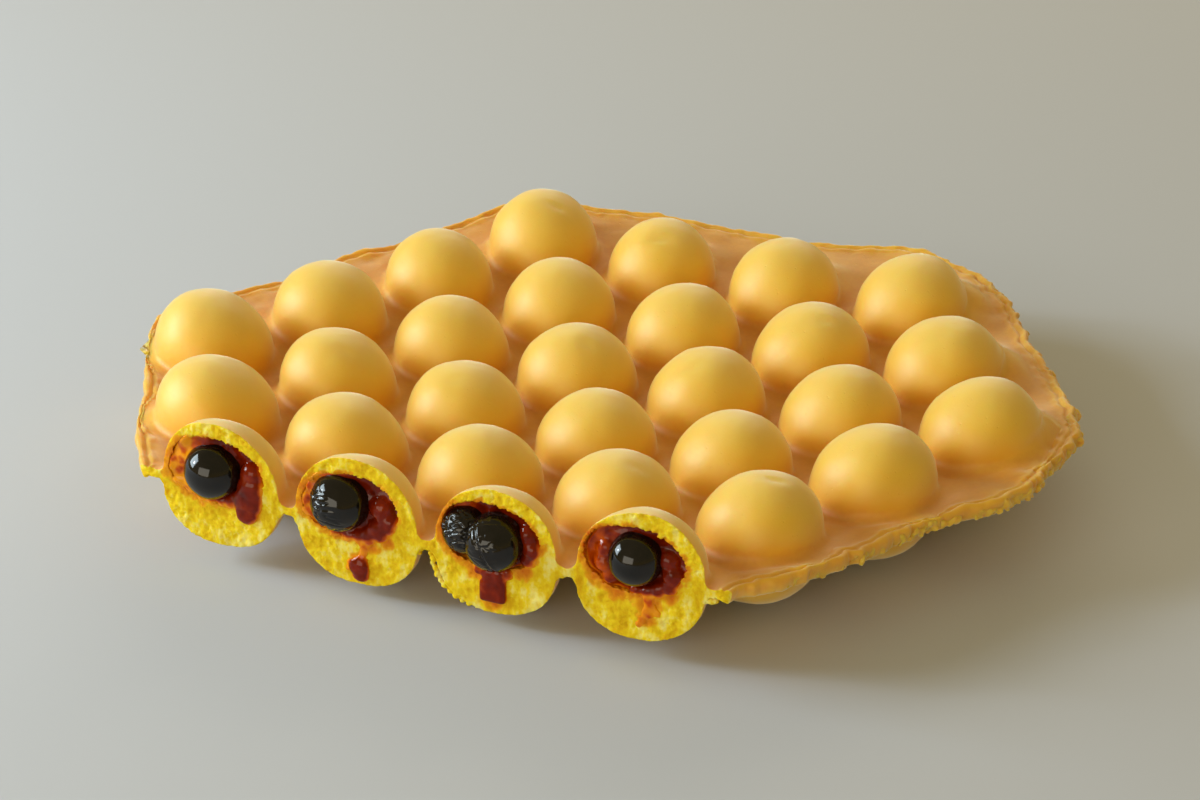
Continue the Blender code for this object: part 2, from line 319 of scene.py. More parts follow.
def edgeDistance(angle, craggy=1.0):
    sharpness = flange["sharpness"] - flange["softerRight"] * math.cos(angle)
    closeness = 0
    for facing, reach in flange["reach"].items():
        towards = math.cos(angle - math.radians(facing))
        rowDistance = 3 * columnStep if facing in (0, 180) else 2.5 * columnStep
        if towards > 0:
            closeness += (towards / (rowDistance + reach)) ** sharpness
    distance = closeness ** (-1 / sharpness)
    for direction, run, width in flange["runs"]:
        apart = (math.degrees(angle) - direction + 180) % 360 - 180
        distance += run * math.exp(-((apart / width) ** 2))
    around = Vector((math.cos(angle), math.sin(angle), 0))
    rightward = max(0, math.cos(angle + flange["cragTurn"])) ** flange["cragPower"]
    cragShare = flange["cragsLeft"] + (1 - flange["cragsLeft"]) * rightward
    distance += flange["wave"] * noise.noise(around * flange["waveScale"])
    crags = flange["crags"] * noise.noise(around * flange["cragScale"] + Vector((0, 0, 5)))
    crags += flange["fineCrags"] * noise.noise(around * flange["fineScale"] + Vector((0, 0, 9)))
    return distance + craggy * cragShare * crags


nearEdges = {}


def edgeNear(angle):  # the outline to a tenth of a millimetre, worked out once for each direction
    key = round(angle, 3)
    if key not in nearEdges:
        nearEdges[key] = edgeDistance(key)
    return nearEdges[key]


def selectBorder():
    bpy.ops.mesh.select_mode(type="EDGE")
    bpy.ops.mesh.select_all(action="DESELECT")
    bpy.ops.mesh.select_non_manifold(
        extend=False, use_wire=False, use_boundary=True,
        use_multi_face=False, use_non_contiguous=False, use_verts=False,
    )


def growRing(obj, place):  # extrudes the open border and puts each new point where place says
    selectBorder()
    bpy.ops.mesh.extrude_edges_move()
    bm = bmesh.from_edit_mesh(obj.data)
    for point in bm.verts:
        if point.select:
            point.co = place(point.co)
    bmesh.update_edit_mesh(obj.data)


def growFlange(surface, side):
    starts = {}  # where the bubbles' cells end, by direction
    openEdit(surface, "EDGE")
    selectBorder()
    for point in bmesh.from_edit_mesh(surface.data).verts:
        if point.select:
            angle = math.atan2(point.co.y, point.co.x)
            limit = edgeDistance(angle) - flange["cellsInside"]
            if point.co.xy.length > limit:
                point.co.xy *= limit / point.co.xy.length
            starts[round(angle, 4)] = point.co.xy.length

    def squeeze(angle, start):  # where the flange is narrow its rim is narrower too
        room = (edgeDistance(angle) - start) / (flange["rimWidth"] + flange["rimRoom"])
        return min(1, max(flange["rimNarrowest"], room))

    angles = sorted(starts)

    def startAt(angle):
        nearest = min(angles, key=lambda known: abs((known - angle + math.pi) % math.tau - math.pi))
        return starts[nearest]

    cache = {}

    def rimPlace(co, inset, height):
        angle = math.atan2(co.y, co.x)
        key = round(angle, 5)
        if key not in cache:
            cache[key] = (edgeDistance(angle, 0), edgeDistance(angle), squeeze(angle, startAt(angle)))
        calm, craggy, narrow = cache[key]
        inwards = smoothStep(*flange["cragFade"], inset)
        reach = craggy + inwards * (calm - craggy) - inset * narrow
        return Vector((reach * math.cos(angle), reach * math.sin(angle), height))

    half = side * bubble["sheetHalf"]
    for ring in range(flange["flatRings"]):
        left = flange["flatRings"] + 1 - ring
        growRing(surface, lambda co: co.lerp(rimPlace(co, flange["rimWidth"], half), 1 / left))
    growRing(surface, lambda co: rimPlace(co, flange["rimWidth"], half))
    selectBorder()
    bpy.ops.mesh.subdivide(number_cuts=flange["edgeCuts"])
    for inset, height in flange["topRim"] if side > 0 else flange["underRim"]:
        growRing(surface, lambda co: rimPlace(co, inset * mm, height * mm))
    closeEdit()


# uneven skin: soft lumps everywhere, froth along the rim, wrinkles on some crowns, all as real relief
skin = {
    "lumps": 0.30 * mm,
    "lumpSize": 9 * mm,
    "ripple": 0.09 * mm,
    "rippleSize": 2.6 * mm,
    "leather": 0.42 * mm,  # puckers in the flat batter of the flange
    "leatherSize": 4.4 * mm,
    "leatherFine": (2.1, 0.5),  # how much finer and weaker the small puckers are
    "leatherFrom": 66 * mm,
    "leatherFade": 14 * mm,
    "levelBand": (1.6 * mm, 4.0 * mm),  # above this it is no longer level batter
    "froth": 0.55 * mm,
    "frothSize": 1.5 * mm,
    "frothFrom": 2.2 * mm,  # in from the edge
    "frothBand": (0.2 * mm, 1.5 * mm),  # less froth above this
    "frothTop": 0.35,
    "frothLeft": 0.25,
    "frothTurn": math.radians(15),
    "rimFrom": 80 * mm,
}


def skinShift(place):  # how far the skin stands out at a place
    flatLength = place.xy.length
    shift = skin["lumps"] * noise.noise(place / skin["lumpSize"])
    shift += skin["ripple"] * noise.noise(place / skin["rippleSize"] + Vector((7, 3, 1)))
    level = 1 - smoothStep(*skin["levelBand"], abs(place.z))
    finer, weaker = skin["leatherFine"]
    pucker = noise.noise(place / skin["leatherSize"] + Vector((2, 8, 4)))
    pucker += weaker * noise.noise(place * finer / skin["leatherSize"] + Vector((5, 1, 7)))
    outer = smoothStep(0, skin["leatherFade"], flatLength - skin["leatherFrom"])
    shift += skin["leather"] * level * outer * pucker
    if flatLength > skin["rimFrom"]:
        angle = math.atan2(place.y, place.x)
        left, top = skin["frothLeft"], skin["frothTop"]
        right = left + (1 - left) * max(0, math.cos(angle + skin["frothTurn"]))
        frothy = 1 - smoothStep(0, skin["frothFrom"], edgeNear(angle) - flatLength)
        low = top + (1 - top) * (1 - smoothStep(*skin["frothBand"], place.z))
        shift += skin["froth"] * frothy * right * low * noise.noise(place / skin["frothSize"])
    return shift


# outer bubbles whose far side runs out into the flange
shoulder = {
    # bubble, direction in degrees, height
    "places": (
        (27, -14, 4.2 * mm), (28, 4, 4.4 * mm), (29, 14, 4.2 * mm), (26, 42, 2.6 * mm),
        (22, 64, 2.0 * mm),
    ),
    "inside": 6 * mm,  # none nearer to the bubble's middle
    "start": 14.6 * mm,
    "fade": 5.6 * mm,
    "focus": 3,
    "lowest": 0.5 * mm,
    "band": (2 * mm, 9 * mm),  # it ends between these heights up the dome
    "clear": (2.5 * mm, 8 * mm),  # and keeps clear of the rim
}


def addShoulder(bm, middle, direction, height):
    outwards = Vector((math.cos(math.radians(direction)), math.sin(math.radians(direction))))
    for point in bm.verts:
        off = point.co.xy - middle.xy
        if point.co.z < shoulder["lowest"] or off.length < shoulder["inside"] or off.dot(outwards) < 0:
            continue
        facing = off.normalized().dot(outwards) ** shoulder["focus"]
        past = (off.length - shoulder["start"]) / shoulder["fade"]
        toEdge = edgeNear(math.atan2(point.co.y, point.co.x)) - point.co.xy.length
        clear = smoothStep(*shoulder["clear"], toEdge)
        low = 1 - smoothStep(*shoulder["band"], point.co.z)
        point.co.z += height * facing * clear * low * math.exp(-past * past)


# wrinkled dents on some crowns
dent = {
    # bubble, along X, along Y, depth: mm
    "places": (
        (22, -1.5, -4.5, 0.8), (17, 3.0, -3.0, 0.6), (18, 2.0, -2.0, 0.6), (15, 1.5, -5.5, 0.45),
        (9, -3.0, -4.0, 0.35), (20, -4.5, -3.5, 0.4), (25, 2.5, -5.0, 0.45), (13, 4.0, -4.5, 0.4),
        (28, -2.0, -4.0, 0.35), (5, 2.0, -6.0, 0.35),
    ),
    "above": 8 * mm,
    "reach": 5 * mm,
    "width": 0.9 * mm,
    "length": 2.6 * mm,
    "slant": 0.25,
}


def addDent(bm, middle, depth):
    for point in bm.verts:
        off = point.co.xy - middle.xy
        if point.co.z < dent["above"] or off.length > dent["reach"]:
            continue
        across = (off.y + dent["slant"] * off.x) / dent["width"]
        fold = math.exp(-across ** 2 - (off.x / dent["length"]) ** 2)
        point.co.z -= depth * fold


def roughen(obj):
    bm = bmesh.new()
    bm.from_mesh(obj.data)
    bm.normal_update()
    moved = [point.co + point.normal * skinShift(point.co) for point in bm.verts]
    for point, place in zip(bm.verts, moved):
        point.co = place
    plan = latticePlan()
    for number, direction, height in shoulder["places"]:
        addShoulder(bm, plan[number], direction, height)
    for number, alongX, alongY, depth in dent["places"]:
        addDent(bm, plan[number] + Vector((alongX, alongY, 0)) * mm, depth * mm)
    bm.to_mesh(obj.data)
    bm.free()


def settle(obj):  # dishes the sheet, sets it on its lowest bubbles and moves it to its place
    for point in obj.data.vertices:
        lift = iron["centre"].z + dishLift(point.co.x, point.co.y)
        point.co.z = max(0, point.co.z + lift)
        point.co.xy += iron["centre"].xy


# the cut and the pockets behind it
cut = {
    "width": 136 * mm,
    "height": 42 * mm,
    "raise": 1 * mm,
    "depth": 50 * mm,
    "pastEnds": 1.8,
    "gridX": 264,
    "gridY": 82,
    "coarse": 0.35 * mm,
    "coarseSize": 5 * mm,
    "pits": 0.6 * mm,
    "pitSize": 1.7 * mm,
    "pitBand": (0.05, 0.5),  # where a pit ends, in pit sizes
    "pitPatches": 3 * mm,
    "cellWall": 0.25 * mm,
    "cellWallWidth": 0.12,
    # from a dome's centre: along the row, out of the cut, up
    "pocketCentre": Vector((-1.3 * mm, 0, 2.6 * mm)),
    "pocketRadii": Vector((11.5 * mm, 10.2 * mm, 8.0 * mm)),
    "pocketLumps": 0.06,
    "pocketLumpsPerRadius": 1.3,
    "lumpSeed": 212,
    "pocketFine": (-0.35, 0.12),  # the pocket's mesh is finer here, where the cut goes through it
    "pocketPits": (1.2, 1.3),  # how much smaller and deeper its pits are
    "thinnestWall": 0.8 * mm,  # crust and sponge left round a pocket
}


def crumbRelief(place, depth=1.0):  # how far torn sponge stands out or is pitted at a place
    near = noise.voronoi(place / cut["pitSize"])[0]
    patchy = 0.5 + 0.5 * noise.noise(place / cut["pitPatches"])
    pit = -cut["pits"] * (1 - smoothStep(*cut["pitBand"], near[0])) * patchy
    wall = cut["cellWall"] * (1 - smoothStep(0, cut["cellWallWidth"], near[1] - near[0]))
    return depth * (pit + wall + cut["coarse"] * noise.noise(place / cut["coarseSize"]))


def crumbCutter():  # everything in front of the cut, with torn sponge on the side that meets the waffle
    deselectAll()
    bpy.ops.mesh.primitive_grid_add(x_subdivisions=cut["gridX"], y_subdivisions=cut["gridY"], size=1)
    cutter = bpy.context.object
    cutter.name = "crumbCutter"
    row = cutCentres(0)
    middle = (row[0] + row[-1]) / 2
    for point in cutter.data.vertices:
        flat = Vector((point.co.x * cut["width"], 0, point.co.y * cut["height"]))
        if abs(point.co.x) > 0.4999:  # the last column reaches past the flange
            flat.x *= cut["pastEnds"]
        place = middle + cutTurn @ flat + Vector((0, 0, cut["raise"]))
        point.co = place + cutNormal * (iron["cutPast"] + crumbRelief(place))
    openEdit(cutter)
    selectAll()
    bpy.ops.mesh.extrude_region_move(TRANSFORM_OT_translate={"value": cutNormal * cut["depth"]})
    bpy.ops.mesh.delete(type="ONLY_FACE")
    selectBorder()
    bpy.ops.mesh.edge_face_add()
    selectAll()
    bpy.ops.mesh.normals_make_consistent(inside=False)
    closeEdit()
    return cutter


def pocketPoint(way, centre, reach=1.0):  # on a pocket's wall, from a direction in the cut's frame
    lumps = noise.noise(way * cut["pocketLumpsPerRadius"] + centre * cut["lumpSeed"])
    swell = 1 + cut["pocketLumps"] * lumps
    radii = cut["pocketRadii"]
    return Vector([way[axis] * radii[axis] * swell * reach for axis in range(3)]) + cut["pocketCentre"]


centres = cutCentres(bubble["domeRise"])  # of the cut bubbles' domes


def keepInside(local, number, wall):  # holds a point inside its dome's crust
    size = 1 + iron["sizeSpread"] * spread(cutNumbers()[number - 1], 1)
    limit = bubble["domeRadius"] * size - wall
    return local * min(1, limit / local.length)


def pocketCutter(number, centre):
    cutter = addSphere(5)
    cutter.name = f"pocketCutter{number}"
    openEdit(cutter, "FACE")
    bm = bmesh.from_edit_mesh(cutter.data)
    lowest, highest = cut["pocketFine"]
    for face in bm.faces:
        face.select = lowest < face.calc_center_median().y < highest
    bmesh.update_edit_mesh(cutter.data)
    bpy.ops.mesh.subdivide(number_cuts=1)
    closeEdit()
    finer, deeper = cut["pocketPits"]
    for point in cutter.data.vertices:
        way = point.co.normalized()
        place = centre + cutTurn @ pocketPoint(way, centre)
        ragged = place + (cutTurn @ way) * crumbRelief(place * finer, deeper)
        point.co = centre + keepInside(ragged - centre, number, cut["thinnestWall"])
    faceOutwards(cutter)
    return cutter


def cutOpen(waffle):
    for name in ("crust", "crumb"):
        waffle.data.materials.append(bpy.data.materials[name])
    tools = [pocketCutter(number, centre) for number, centre in enumerate(centres, 1)]
    for tool in tools + [crumbCutter()]:
        tool.data.materials.append(bpy.data.materials["crumb"])
        applyModifier(
            waffle, "BOOLEAN", operation="DIFFERENCE", solver="MANIFOLD", material_mode="TRANSFER",
            object=tool,
        )
        bpy.data.objects.remove(tool)


# materials
def newMaterial(name):
    material = bpy.data.materials.new(name)
    material.use_nodes = True
    return material.node_tree, material.node_tree.nodes["Principled BSDF"]


def setInputs(node, values):
    for name, value in values.items():
        node.inputs[name].default_value = value


def addNode(tree, kind, x, y, inputs=None, **settings):
    node = tree.nodes.new("ShaderNode" + kind)
    node.location = (x, y)
    for name, value in settings.items():
        setattr(node, name, value)
    setInputs(node, inputs or {})
    return node


def setRamp(node, stops):
    ramp = node.color_ramp
    while len(ramp.elements) < len(stops):
        ramp.elements.new(0.5)
    for element, (place, colour) in zip(ramp.elements, stops):
        element.position = place
        element.color = (*colour, 1)


def linkAll(tree, *links):  # each is a node, its output, the next node and its input
    for source, output, target, socket in links:
        tree.links.new(source.outputs[output], target.inputs[socket])


def newGroup(name, settings, result):  # a shared effect: a vector and its settings in, one value out
    group = bpy.data.node_groups.new(name, "ShaderNodeTree")
    group.interface.new_socket("Vector", in_out="INPUT", socket_type="NodeSocketVector")
    for setting, value in settings.items():
        socket = group.interface.new_socket(setting, in_out="INPUT", socket_type="NodeSocketFloat")
        socket.default_value = value
    group.interface.new_socket(result, in_out="OUTPUT", socket_type="NodeSocketFloat")
    start = group.nodes.new("NodeGroupInput")
    start.location = (-800, 0)
    end = group.nodes.new("NodeGroupOutput")
    end.location = (400, 0)
    return group, start, end


def makeMottle():  # soft uneven browning: a value around 0 that shifts a colour up or down
    group, start, end = newGroup("bakedMottle", {"Broad": 60, "Fine": 700}, "Value")
    broad = addNode(group, "TexNoise", -500, 150, {"Detail": 4})
    fine = addNode(group, "TexNoise", -500, -150, {"Detail": 2})
    blend = addNode(group, "Math", -200, 0, {1: 0.35}, operation="MULTIPLY_ADD")
    centred = addNode(group, "Math", 100, 0, {1: 0.675}, operation="SUBTRACT")
    linkAll(
        group,
        (start, "Vector", broad, "Vector"),
        (start, "Vector", fine, "Vector"),
        (start, "Broad", broad, "Scale"),
        (start, "Fine", fine, "Scale"),
        (fine, "Fac", blend, 0),
        (broad, "Fac", blend, 2),
        (blend, 0, centred, 0),
        (centred, 0, end, "Value"),
    )
    return group


def makePores():  # pinholes and grain as a height
    scales = {"Hole Scale": 600, "Hole Size": 0.3, "Grain Scale": 1800}
    group, start, end = newGroup("pores", scales, "Height")
    holes = addNode(group, "TexVoronoi", -500, 150)
    grain = addNode(group, "TexNoise", -500, -200, {"Detail": 3})
    rims = addNode(group, "MapRange", -200, 150, interpolation_type="SMOOTHSTEP")
    blend = addNode(group, "Math", 150, 0, {1: 0.4}, operation="MULTIPLY_ADD")
    linkAll(
        group,
        (start, "Vector", holes, "Vector"),
        (start, "Vector", grain, "Vector"),
        (start, "Hole Scale", holes, "Scale"),
        (start, "Hole Size", rims, "From Max"),
        (start, "Grain Scale", grain, "Scale"),
        (holes, "Distance", rims, "Value"),
        (grain, "Fac", blend, 0),
        (rims, "Result", blend, 2),
        (blend, 0, end, "Height"),
    )
    return group


def placeGroup(tree, group, x, y, inputs):
    return addNode(tree, "Group", x, y, inputs, node_tree=group)


def addBump(tree, source, output, shader, strength, distance):
    bump = addNode(tree, "Bump", -250, -350, {"Strength": strength, "Distance": distance})
    linkAll(tree, (source, output, bump, "Height"), (bump, "Normal", shader, "Normal"))


crustLook = {
    "browningAndShadeByHeight": (  # from the sheet to the crowns: browner low down as baked, with painted shade darkening and deepening the orange in the valleys and at the dome feet, and painted light making the crowns paler
        (0.00, (0.68, 0.28, 0.012)),
        (0.08, (0.77, 0.34, 0.008)),
        (0.22, (0.86, 0.46, 0.008)),
        (0.60, (0.90, 0.55, 0.020)),
        (1.00, (0.92, 0.62, 0.095)),
    ),
    "mottle": 0.30,
    "sheetRough": 0.62,
    "domeRough": 0.54,
    "bend": 1.5,
    "specular": 1.0,
    "sheen": 0.8,
    "sheenRough": 0.42,
    "sheenTint": (1.0, 0.93, 0.80),
    "glow": 0.5,
    "glowDepth": 3.5 * mm,
}


def makeCrust(mottle, pores):
    tree, shader = newMaterial("crust")
    coords = addNode(tree, "TexCoord", -1300, -100)
    height = addNode(tree, "Attribute", -1300, 250, attribute_name="height")
    uneven = placeGroup(tree, mottle, -1000, 0, {"Broad": 55, "Fine": 850})
    shift = addNode(tree, "Math", -750, 150, {1: crustLook["mottle"]}, operation="MULTIPLY_ADD")
    # colour by height: real browning plus painted shade in the valleys and at the dome feet, and painted
    # light on the crowns
    ramp = addNode(tree, "ValToRGB", -500, 250)
    setRamp(ramp, crustLook["browningAndShadeByHeight"])
    values = {"From Max": 0.35, "To Min": crustLook["sheetRough"], "To Max": crustLook["domeRough"]}
    gloss = addNode(tree, "MapRange", -500, 0, values)
    scales = {"Hole Scale": 520, "Hole Size": 0.16, "Grain Scale": 2200}
    holes = placeGroup(tree, pores, -700, -350, scales)
    linkAll(
        tree,
        (coords, "Object", uneven, "Vector"),
        (coords, "Object", holes, "Vector"),
        (uneven, "Value", shift, 0),
        (height, "Fac", shift, 2),
        (shift, 0, ramp, "Fac"),
        (shift, 0, gloss, "Value"),
        (ramp, "Color", shader, "Base Color"),
        (gloss, "Result", shader, "Roughness"),
    )
    addBump(tree, holes, "Height", shader, strength=0.45, distance=0.12 * mm)
    setInputs(shader, {
        "IOR": crustLook["bend"],
        "Specular IOR Level": crustLook["specular"],
        "Sheen Weight": crustLook["sheen"],
        "Sheen Roughness": crustLook["sheenRough"],
        "Sheen Tint": (*crustLook["sheenTint"], 1),
        "Subsurface Weight": crustLook["glow"],
        "Subsurface Radius": (1.0, 0.36, 0.06),
        "Subsurface Scale": crustLook["glowDepth"],
    })


crumbLook = {
    "sponge": ((0.20, (0.74, 0.44, 0.003)), (0.52, (0.88, 0.66, 0.012)), (0.92, (0.96, 0.88, 0.30))),
    "stains": (  # from dry sponge to soaked through
        (0.00, (0.82, 0.54, 0.008)),
        (0.30, (0.80, 0.36, 0.005)),
        (0.60, (0.62, 0.13, 0.002)),
        (1.00, (0.20, 0.018, 0.001)),
    ),
    "streaks": 0.6,  # how far the crumb's mottling is drawn out upwards
    "specular": 0.15,
    "dryRough": 0.72,
    "wetRough": 0.16,
}


def makeCrumb(mottle, pores):
    tree, shader = newMaterial("crumb")
    coords = addNode(tree, "TexCoord", -1700, -100)
    stain = addNode(tree, "Attribute", -1500, 300, attribute_name="stain")
    stretch = addNode(tree, "Mapping", -1500, 50, {"Scale": (1.0, 1.0, crumbLook["streaks"])})
    uneven = placeGroup(tree, mottle, -1250, 0, {"Broad": 300, "Fine": 1300})
    lift = addNode(tree, "Math", -1000, 0, {1: 1.6, 2: 0.5}, operation="MULTIPLY_ADD")
    sponge = addNode(tree, "ValToRGB", -750, 0)
    setRamp(sponge, crumbLook["sponge"])
    soak = addNode(tree, "Math", -1000, 300, {1: 0.5}, operation="MULTIPLY_ADD")
    stains = addNode(tree, "ValToRGB", -750, 300)
    setRamp(stains, crumbLook["stains"])
    values = {"From Min": 0.08, "From Max": 0.28}
    edge = addNode(tree, "MapRange", -750, 550, values, interpolation_type="SMOOTHSTEP")
    colour = addNode(tree, "Mix", -400, 150, data_type="RGBA")
    values = {"To Min": crumbLook["dryRough"], "To Max": crumbLook["wetRough"]}
    wet = addNode(tree, "MapRange", -400, 450, values)
    scales = {"Hole Scale": 900, "Hole Size": 0.45, "Grain Scale": 2600}
    holes = placeGroup(tree, pores, -700, -350, scales)
    linkAll(
        tree,
        (coords, "Object", stretch, "Vector"),
        (stretch, "Vector", uneven, "Vector"),
        (coords, "Object", holes, "Vector"),
        (uneven, "Value", lift, 0),
        (lift, 0, sponge, "Fac"),
        (uneven, "Value", soak, 0),
        (stain, "Fac", soak, 2),
        (soak, 0, stains, "Fac"),
        (soak, 0, edge, "Value"),
        (edge, "Result", colour, "Factor"),
        (sponge, "Color", colour, "A"),
        (stains, "Color", colour, "B"),
        (colour, "Result", shader, "Base Color"),
        (soak, 0, wet, "Value"),
        (wet, "Result", shader, "Roughness"),
    )
    addBump(tree, holes, "Height", shader, strength=0.5, distance=0.2 * mm)
    setInputs(shader, {
        "Specular IOR Level": crumbLook["specular"],
        "Subsurface Weight": 0.25,
        "Subsurface Radius": (1.0, 0.55, 0.12),
        "Subsurface Scale": 1.6 * mm,
    })


def makePearl(pores):
    tree, shader = newMaterial("tapiocaSkin")
    coords = addNode(tree, "TexCoord", -1100, 0)
    cloud = addNode(tree, "TexNoise", -850, 150, {"Scale": 320, "Detail": 4})
    tint = addNode(tree, "ValToRGB", -550, 250)
    setRamp(tint, ((0.35, (0.0030, 0.0025, 0.0025)), (0.75, (0.010, 0.007, 0.006))))
    rough = addNode(tree, "MapRange", -550, 0, {"To Min": 0.03, "To Max": 0.13})
    scales = {"Hole Scale": 900, "Hole Size": 0.2, "Grain Scale": 1500}
    grain = placeGroup(tree, pores, -700, -300, scales)
    linkAll(
        tree,
        (coords, "Object", cloud, "Vector"),
        (coords, "Object", grain, "Vector"),
        (cloud, "Fac", tint, "Fac"),
        (cloud, "Fac", rough, "Value"),
        (tint, "Color", shader, "Base Color"),
        (rough, "Result", shader, "Roughness"),
    )
    addBump(tree, grain, "Height", shader, strength=0.05, distance=0.05 * mm)
    setInputs(shader, {
        "IOR": 1.45,
    })


syrupLook = {
    "tint": (  # from deep in the pocket to a thin film over sponge
        (0.05, (0.036, 0.0022, 0.0001)),
        (0.30, (0.20, 0.0115, 0.0002)),
        (0.65, (0.57, 0.082, 0.001)),
        (1.00, (0.86, 0.33, 0.005)),
    ),
    "roughness": 0.04,
    "bend": 1.32,
}


def makeSyrup():
    tree, shader = newMaterial("syrupGel")
    coords = addNode(tree, "TexCoord", -1100, -100)
    thin = addNode(tree, "Attribute", -1100, 250, attribute_name="thin")
    waves = addNode(tree, "TexNoise", -850, -150, {"Scale": 300, "Detail": 3})
    shift = addNode(tree, "Math", -650, 150, {1: 0.25}, operation="MULTIPLY_ADD")
    tint = addNode(tree, "ValToRGB", -450, 250)
    setRamp(tint, syrupLook["tint"])
    linkAll(
        tree,
        (coords, "Object", waves, "Vector"),
        (waves, "Fac", shift, 0),
        (thin, "Fac", shift, 2),
        (shift, 0, tint, "Fac"),
        (tint, "Color", shader, "Base Color"),
    )
    addBump(tree, waves, "Fac", shader, strength=0.12, distance=0.4 * mm)
    setInputs(shader, {
        "Roughness": syrupLook["roughness"],
        "IOR": syrupLook["bend"],
    })


def makeMaterials():
    mottle = makeMottle()
    pores = makePores()
    makeCrust(mottle, pores)
    makeCrumb(mottle, pores)
    makePearl(pores)
    makeSyrup()
    print("materials made")


def storeValues(obj, name, values):
    layer = obj.data.attributes.new(name, "FLOAT", "POINT")
    layer.data.foreach_set("value", values)


# the rim caught less heat than the sheet inside it
rimTone = {"from": 84 * mm, "extra": 0.14, "fade": (1 * mm, 6 * mm)}


def storeHeight(obj):  # 0 on the sheet and 1 at a crown, for the crust's colours
    tall = bubble["domeRise"] + bubble["domeRadius"]
    values = []
    for point in obj.data.vertices:
        plan = point.co - iron["centre"]
        value = abs(plan.z - dishLift(plan.x, plan.y)) / tall
        if plan.xy.length > rimTone["from"]:
            toEdge = edgeNear(math.atan2(plan.y, plan.x)) - plan.xy.length
            value += rimTone["extra"] * (1 - smoothStep(*rimTone["fade"], toEdge))
        values.append(value)
    storeValues(obj, "height", values)


# where syrup has soaked the sponge, round each pocket and under each run
soaking = {
    "ring": (0.94, 1.16, 0.2),  # starts, ends and how much wider at the lower left, in pocket radii
    "ringStrength": (0.42, 0.12),  # all round, and added at the lower left
    "lowLeft": (-0.7, 0.6),
    "uneven": ((0.16, 2.4 * mm), (0.09, 0.8 * mm)),  # how much and how broad
    "spotStrength": 0.5,
    "spotFade": (0.2, 1.25),
    "spotUneven": (0.3, 1.5 * mm),
    "along": 15 * mm,  # no stain further than this from a cut bubble's middle
    "ahead": 55 * mm,
    "spots": (  # for each cut bubble: along and up from its dome's centre, reach, mm
        ((-11.5, 1.0, 2.4), (-10.0, -2.0, 2.2), (8.0, -6.0, 2.6), (-5.0, -6.2, 1.5)),
        (
            (-12.5, 1.5, 2.0), (-9.5, -2.5, 2.0), (3.5, -6.6, 2.8), (0.6, -10.0, 2.2),
            (0.2, -13.5, 2.8), (7.5, -4.5, 2.4),
        ),
        ((-5.0, -6.5, 2.8), (-1.0, -8.0, 3.6), (-0.6, -12.5, 3.8), (6.5, -4.5, 3.0), (9.5, 2.0, 2.4)),
        (
            (-9.8, -2.5, 3.4), (-5.5, -5.8, 3.2), (2.0, -7.2, 4.2), (1.6, -11.0, 2.8),
            (6.8, -4.2, 2.6), (9.0, 2.5, 2.6),
        ),
    ),
}


def stainAt(place):
    strongest = 0
    starts, ends, wider = soaking["ring"]
    strength, extra = soaking["ringStrength"]
    (broad, broadSize), (fine, fineSize) = soaking["uneven"]
    spotUneven, spotSize = soaking["spotUneven"]
    for number, centre in enumerate(centres):
        away = place - centre
        along, out, up = away.dot(rowWay), away.dot(cutNormal), away.z
        if abs(along) > soaking["along"]:
            continue
        fromPocket = Vector((along, out, up)) - cut["pocketCentre"]
        reach = Vector([fromPocket[axis] / cut["pocketRadii"][axis] for axis in range(3)]).length
        reach += broad * noise.noise(place / broadSize) + fine * noise.noise(place / fineSize)
        lowLeft = smoothStep(*soaking["lowLeft"], -(fromPocket.x + fromPocket.z) / cut["pocketRadii"].x)
        stain = (strength + extra * lowLeft) * (1 - smoothStep(starts, ends + wider * lowLeft, reach))
        for spotAlong, spotUp, size in soaking["spots"][number]:
            far = math.hypot(along - spotAlong * mm, up - spotUp * mm) / (size * mm)
            far += spotUneven * noise.noise(place / spotSize)
            stain = max(stain, soaking["spotStrength"] * (1 - smoothStep(*soaking["spotFade"], far)))
        strongest = max(strongest, stain)
    return strongest


def storeStain(obj):
    values = []
    for point in obj.data.vertices:
        ahead = (point.co - iron["centre"]).dot(cutNormal)
        values.append(stainAt(point.co) if ahead > soaking["ahead"] else 0)
    storeValues(obj, "stain", values)


def buildWaffle():
    top = buildSurface(1)
    print("top surface made", len(top.data.polygons))
    under = buildSurface(-1)
    print("underside made", len(under.data.polygons))
    waffle = joinAll([top, under], "waffle_body")
    weld(waffle)
    roughen(waffle)
    settle(waffle)
    cutOpen(waffle)
    storeHeight(waffle)
    storeStain(waffle)
    waffle.data.shade_smooth()
    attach(waffle, "root")
    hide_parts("waffle")
    print("waffle cut open", len(waffle.data.polygons))


# the crusty froth that squeezed out of the iron, a bead of grains under the rim
froth = {
    "grains": 620,
    "smallest": 0.45 * mm,
    "largest": 1.15 * mm,
    "lumps": (0.35, 0.8),  # how uneven a grain is, and how broad its lumps are in radii
    "seed": 5,
    "directions": (-75, 62),  # degrees
    "densest": math.radians(-14),
    "gathering": 2.5,
    "sizes": (0.55, 0.45),  # grains at the ends of the bead, and added where it is densest
    "inset": (0.3, 1.6),  # from the edge, in grain radii
    "drop": (-0.2, 2.0),  # below the sheet's middle, mm
    "behindCut": 1.5 * mm,
    "voxel": 0.34 * mm,
    "browning": (0.34, 0.5, 1.1 * mm),  # middle, spread and size of the patches
    # bigger knobs: direction in degrees, radius
    "knobs": (
        (20.5, 1.7 * mm), (18.0, 1.5 * mm), (-2.0, 1.6 * mm), (-12.5, 1.8 * mm), (-19.0, 1.4 * mm),
        (-42.0, 1.3 * mm),
    ),
    "knobInset": 0.2,
    "knobDrop": 0.9 * mm,
}


def addGrain(place, radius):
    grain = addSphere(2, radius)
    uneven, lumpSize = froth["lumps"]
    for point in grain.data.vertices:
        swell = noise.noise(point.co / (lumpSize * radius) + place * 900)
        point.co = place + point.co * (1 + uneven * swell)
    return grain


